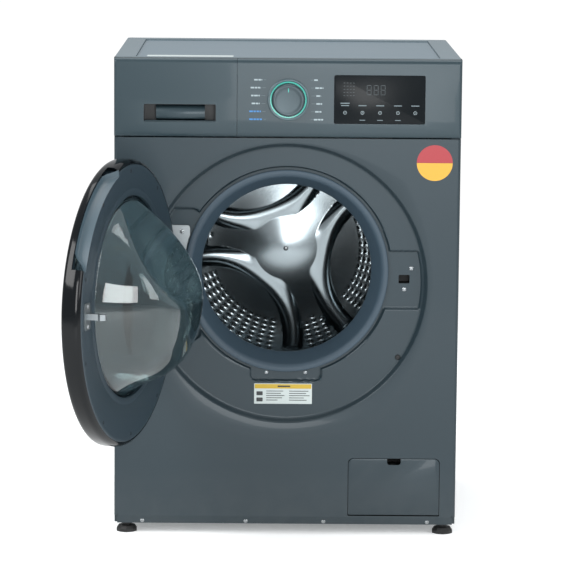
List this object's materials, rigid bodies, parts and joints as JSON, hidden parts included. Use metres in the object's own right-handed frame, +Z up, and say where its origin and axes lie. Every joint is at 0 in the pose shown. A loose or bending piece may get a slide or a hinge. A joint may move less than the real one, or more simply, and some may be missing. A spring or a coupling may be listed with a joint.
{
  "type": "front load washing machine",
  "caption": "Front loading washing machine, door open: dark grey cabinet, glass bowl door, gasket, steel drum, control panel, detergent drawer, service flap.",
  "frame": {"origin": "centre of the underside of the front left foot, feet screwed right in", "axes": "+X to the machine's right seen from the front, +Y from the front panel to the rear, +Z up"},
  "size_m": [0.6595, 0.9686, 0.836],
  "materials": {
    "painted_body": "satin dark grey paint",
    "zinc": "zinc plated sheet",
    "motor_steel": "motor casing",
    "laminate": "fine textured",
    "board": "laminated particle board",
    "fascia": "satin moulded",
    "black_glass": "glossy black",
    "silver": "satin plated",
    "circuit": "circuit board",
    "polymer": "moulded polypropylene",
    "blue_cap": "moulded",
    "black_plastic": "moulded",
    "foot_black": "moulded foot on a stud",
    "gasket_rubber": "blue grey rubber",
    "belt_rubber": "ribbed belt",
    "concrete": "rough ballast",
    "stainless": "polished stainless steel",
    "lifter_grey": "moulded",
    "steel": "steel",
    "cast_aluminium": "as cast",
    "door_plastic": "satin blue grey",
    "window_plastic": "smoked clear cover",
    "bowl_glass": "clear glass"
  },
  "bodies": {
    "cabinet": {"front_panel": "painted_body", "side_panel_left": "painted_body", "side_panel_right": "painted_body", "rear_panel": "painted_body", "rear_cover": "painted_body", "base_pan": "zinc", "worktop_frame": "laminate", "worktop_board": "board", "control_panel": "fascia", "display_window": "black_glass", "knob_bezel": "silver", "control_board": "circuit", "dispenser_housing": "polymer", "inlet_valve": "polymer", "drain_outlet": "black_plastic", "cord_gland": "black_plastic", "door_lock": "black_plastic", "hinge_plate": "zinc", "gasket": "gasket_rubber", "pump_housing": "black_plastic", "damper_cylinder_left": "black_plastic", "damper_cylinder_right": "black_plastic"},
    "door": {"door_rim": "black_glass", "door_window": "window_plastic", "door_ring": "door_plastic", "door_glass": "bowl_glass", "hinge_arm": "zinc", "latch_hook": "zinc"},
    "programme_knob": {"knob": "silver"},
    "drawer": {"drawer_front": "fascia", "drawer_tray": "polymer", "siphon_cap": "blue_cap"},
    "flap": {"service_flap": "painted_body"},
    "filter": {"filter_cap": "black_plastic"},
    "impeller": {"pump_impeller": "black_plastic"},
    "leg_front_left": {"foot_front_left": "foot_black"},
    "leg_front_right": {"foot_front_right": "foot_black"},
    "leg_rear_left": {"foot_rear_left": "foot_black"},
    "leg_rear_right": {"foot_rear_right": "foot_black"},
    "tub": {"tub_front": "polymer", "tub_rear": "polymer", "counterweight_front": "concrete", "counterweight_top": "concrete", "motor": "motor_steel", "heater": "steel", "damper_rod_left": "zinc", "damper_rod_right": "zinc", "spring_left": "steel", "spring_right": "steel", "bearing_front": "steel", "bearing_rear": "steel", "drive_belt": "belt_rubber"},
    "drum": {"drum_shell": "stainless", "lifter_1": "lifter_grey", "lifter_2": "lifter_grey", "lifter_3": "lifter_grey", "drum_spider": "cast_aluminium", "drum_shaft": "steel", "drum_pulley": "cast_aluminium"},
    "motor_rotor": {"motor_pulley": "zinc"}
  },
  "joints": [
    {"name": "door_hinge", "type": "hinge", "parent": "cabinet", "child": "door", "pos_m": [0.064, -0.043, 0.444], "axis": [0, 0, 1], "range_deg": [0, 107.5]},
    {"name": "drawer_slide", "type": "slide", "parent": "cabinet", "child": "drawer", "axis": [0, -1, 0], "range_m": [0, 0.19]},
    {"name": "knob_turn", "type": "hinge", "parent": "cabinet", "child": "programme_knob", "pos_m": [0.2785, -0.025, 0.765], "axis": [0, -1, 0], "continuous": true},
    {"name": "flap_hinge", "type": "hinge", "parent": "cabinet", "child": "flap", "pos_m": [0.468, -0.0204, 0.0394], "axis": [1, 0, 0], "range_deg": [0, 90]},
    {"name": "filter_turn", "type": "hinge", "parent": "cabinet", "child": "filter", "pos_m": [0.468, 0.025, 0.085], "axis": [0, -1, 0], "range_deg": [0, 90]},
    {"name": "impeller_spin", "type": "hinge", "parent": "cabinet", "child": "impeller", "pos_m": [0.468, 0.11, 0.085], "axis": [0, 1, 0], "continuous": true},
    {"name": "leg_front_left_screw", "type": "slide", "parent": "cabinet", "child": "leg_front_left", "axis": [0, 0, -1], "range_m": [0, 0.014]},
    {"name": "leg_front_right_screw", "type": "slide", "parent": "cabinet", "child": "leg_front_right", "axis": [0, 0, -1], "range_m": [0, 0.014]},
    {"name": "leg_rear_left_screw", "type": "slide", "parent": "cabinet", "child": "leg_rear_left", "axis": [0, 0, -1], "range_m": [0, 0.014]},
    {"name": "leg_rear_right_screw", "type": "slide", "parent": "cabinet", "child": "leg_rear_right", "axis": [0, 0, -1], "range_m": [0, 0.014]},
    {"name": "tub_float", "type": "slide", "parent": "cabinet", "child": "tub", "axis": [0, 0, 1], "range_m": [-0.008, 0.008], "stiffness_N_per_m": 12000, "springref_m": 0.0318, "deforming": ["spring_left", "spring_right"]},
    {"name": "drum_spin", "type": "hinge", "parent": "tub", "child": "drum", "pos_m": [0.278, 0.175, 0.465], "axis": [0, 1, 0], "continuous": true},
    {"name": "motor_spin", "type": "hinge", "parent": "tub", "child": "motor_rotor", "pos_m": [0.383, 0.39, 0.14], "axis": [0, 1, 0], "continuous": true}
  ],
  "couplings": [
    {"joint": "motor_spin", "follows": "drum_spin", "ratio": 12.5}
  ]
}
